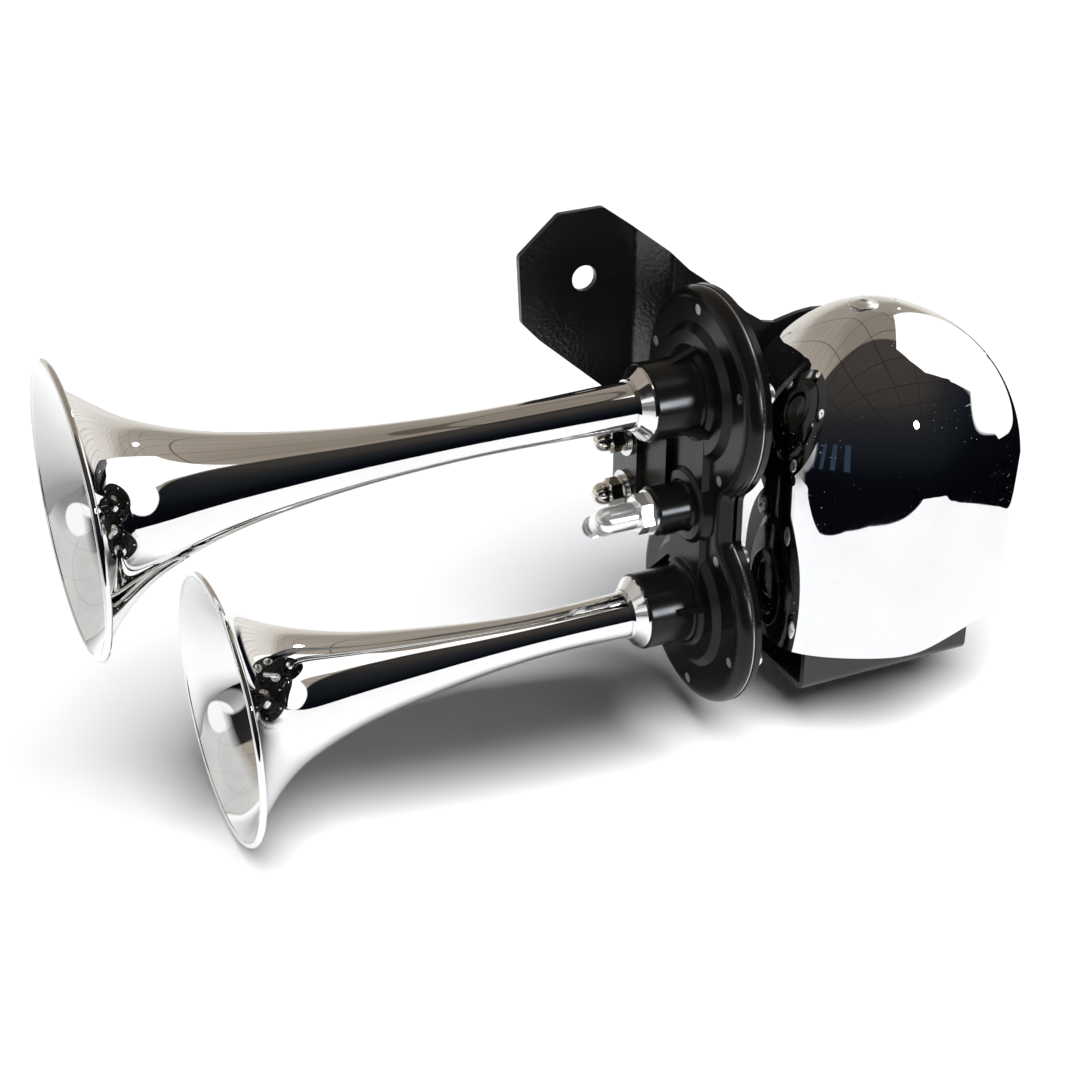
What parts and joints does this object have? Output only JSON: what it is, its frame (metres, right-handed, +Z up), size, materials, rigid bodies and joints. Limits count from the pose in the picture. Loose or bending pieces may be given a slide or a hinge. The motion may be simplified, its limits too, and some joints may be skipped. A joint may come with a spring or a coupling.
{
  "type": "twin trumpet air horn",
  "caption": "Compact vehicle air horn: two chromed trumpets on a black diaphragm sound unit, a folded black bracket and a small vane compressor under a domed chrome cover",
  "frame": {"origin": "the centre of the hole in the bracket's ear, half way through the 2.5 mm sheet", "axes": "+X runs along the trumpets from the bells to the compressor cover, +Y runs away from the horn into the panel behind the bracket, +Z is up as the horn is fitted"},
  "size_m": [0.3701, 0.1093, 0.1992],
  "materials": {
    "core_steel": "stacked laminations",
    "powder_black": "fine-texture black powder coat",
    "plastic_brown": "moulded phenolic",
    "spring_steel": "rolled spring steel",
    "graphite": "carbon graphite",
    "capnut_chrome": "warm bright nickel and chrome",
    "cover_chrome": "mirror-bright decorative chrome over deep-drawn steel",
    "copper": "enamelled copper",
    "zinc_stud": "bright zinc plate",
    "zinc_screw": "bright zinc plate",
    "gasket_rubber": "matte black nitrile",
    "plastic_black": "moulded glass-filled nylon, fine grain",
    "zinc_washer": "bright zinc plate",
    "elbow_nickel": "nickel-plated brass, slightly rough",
    "foam": "open-cell foam",
    "rubber": "moulded black rubber",
    "trumpet_chrome": "mirror-bright decorative chrome over spun steel",
    "bronze": "sintered bronze",
    "can_zinc": "black-painted rolled steel",
    "ferrite": "sintered ferrite, matt dark grey",
    "strap_black": "satin black paint",
    "nipple_brass": "turned brass",
    "pump_aluminium": "die-cast aluminium, as cast and machined faces",
    "rear_black": "satin-gloss black paint over pressed steel",
    "shaft_steel": "ground steel",
    "casting_black": "satin-gloss black paint over die-cast metal",
    "terminal_brass": "tinned brass blades",
    "fibre": "pressed red-brown vulcanised fibre",
    "nut_chrome": "bright chrome, turned"
  },
  "bodies": {
    "housing": {"bracket": "powder_black", "brush_holder": "plastic_brown", "brush_springs": "spring_steel", "brushes": "graphite", "cap_nuts": "capnut_chrome", "chrome_cover": "cover_chrome", "cover_post": "zinc_stud", "cover_screw": "zinc_screw", "diaphragm_gaskets": "gasket_rubber", "filter_cap": "plastic_black", "flat_washers": "zinc_washer", "inlet_elbow": "elbow_nickel", "inlet_washer": "zinc_washer", "intake_filter": "foam", "isolator_screws": "zinc_screw", "isolators": "rubber", "long_trumpet": "trumpet_chrome", "lower_diaphragm": "spring_steel", "motor_bushes": "bronze", "motor_can": "can_zinc", "motor_end_cap": "plastic_black", "motor_magnets": "ferrite", "motor_strap": "strap_black", "outlet_nipple": "nipple_brass", "pump_body": "pump_aluminium", "pump_cover": "pump_aluminium", "pump_screws": "zinc_screw", "rear_cover": "rear_black", "short_trumpet": "trumpet_chrome", "sound_unit_body": "casting_black", "spring_washers": "zinc_washer", "strap_bolts": "zinc_screw", "strap_nuts": "zinc_screw", "terminals": "terminal_brass", "trumpet_gaskets": "fibre", "trumpet_nuts": "nut_chrome", "unit_screws": "zinc_screw", "unit_studs": "zinc_stud", "upper_diaphragm": "spring_steel"},
    "rotor": {"rotor_shaft": "shaft_steel", "armature_core": "core_steel", "windings": "copper", "commutator": "copper", "pump_rotor": "pump_aluminium", "pump_vanes": "graphite"}
  },
  "joints": [
    {"name": "rotor_spin", "type": "hinge", "parent": "housing", "child": "rotor", "pos_m": [0.1007, -0.04275, -0.081], "axis": [0, 0, 1], "continuous": true}
  ]
}
